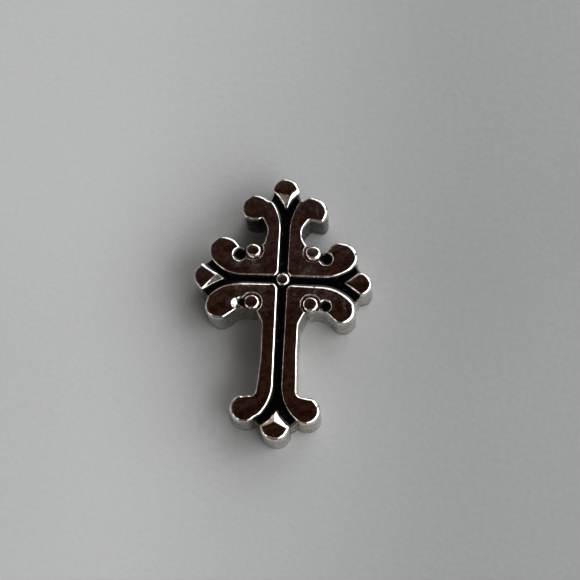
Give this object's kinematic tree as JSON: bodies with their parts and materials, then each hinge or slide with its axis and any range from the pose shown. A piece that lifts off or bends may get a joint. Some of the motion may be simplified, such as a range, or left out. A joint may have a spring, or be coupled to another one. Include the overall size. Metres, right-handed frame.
{
  "type": "cross charm",
  "caption": "Flat-backed budded cross charm in polished cast silver-coloured metal, with scrolled quarters, small studs and black enamel in its cross-shaped channel.",
  "frame": {"origin": "centre of the charm's length and width, on the flat back that it lies on", "axes": "+Z out of the polished face, +Y towards the top end of the cross, +X to its right as it is seen from the front"},
  "size_m": [0.0072, 0.011, 0.0018],
  "materials": {
    "polished_metal": "polished, silver-coloured plating",
    "black_enamel": "glossy cold enamel"
  },
  "bodies": {
    "root": {"cast_cross": "polished_metal", "channel_enamel": "black_enamel", "pit_enamel_upper_right": "black_enamel", "pit_enamel_upper_left": "black_enamel", "pit_enamel_lower_right": "black_enamel", "pit_enamel_lower_left": "black_enamel"}
  },
  "joints": []
}
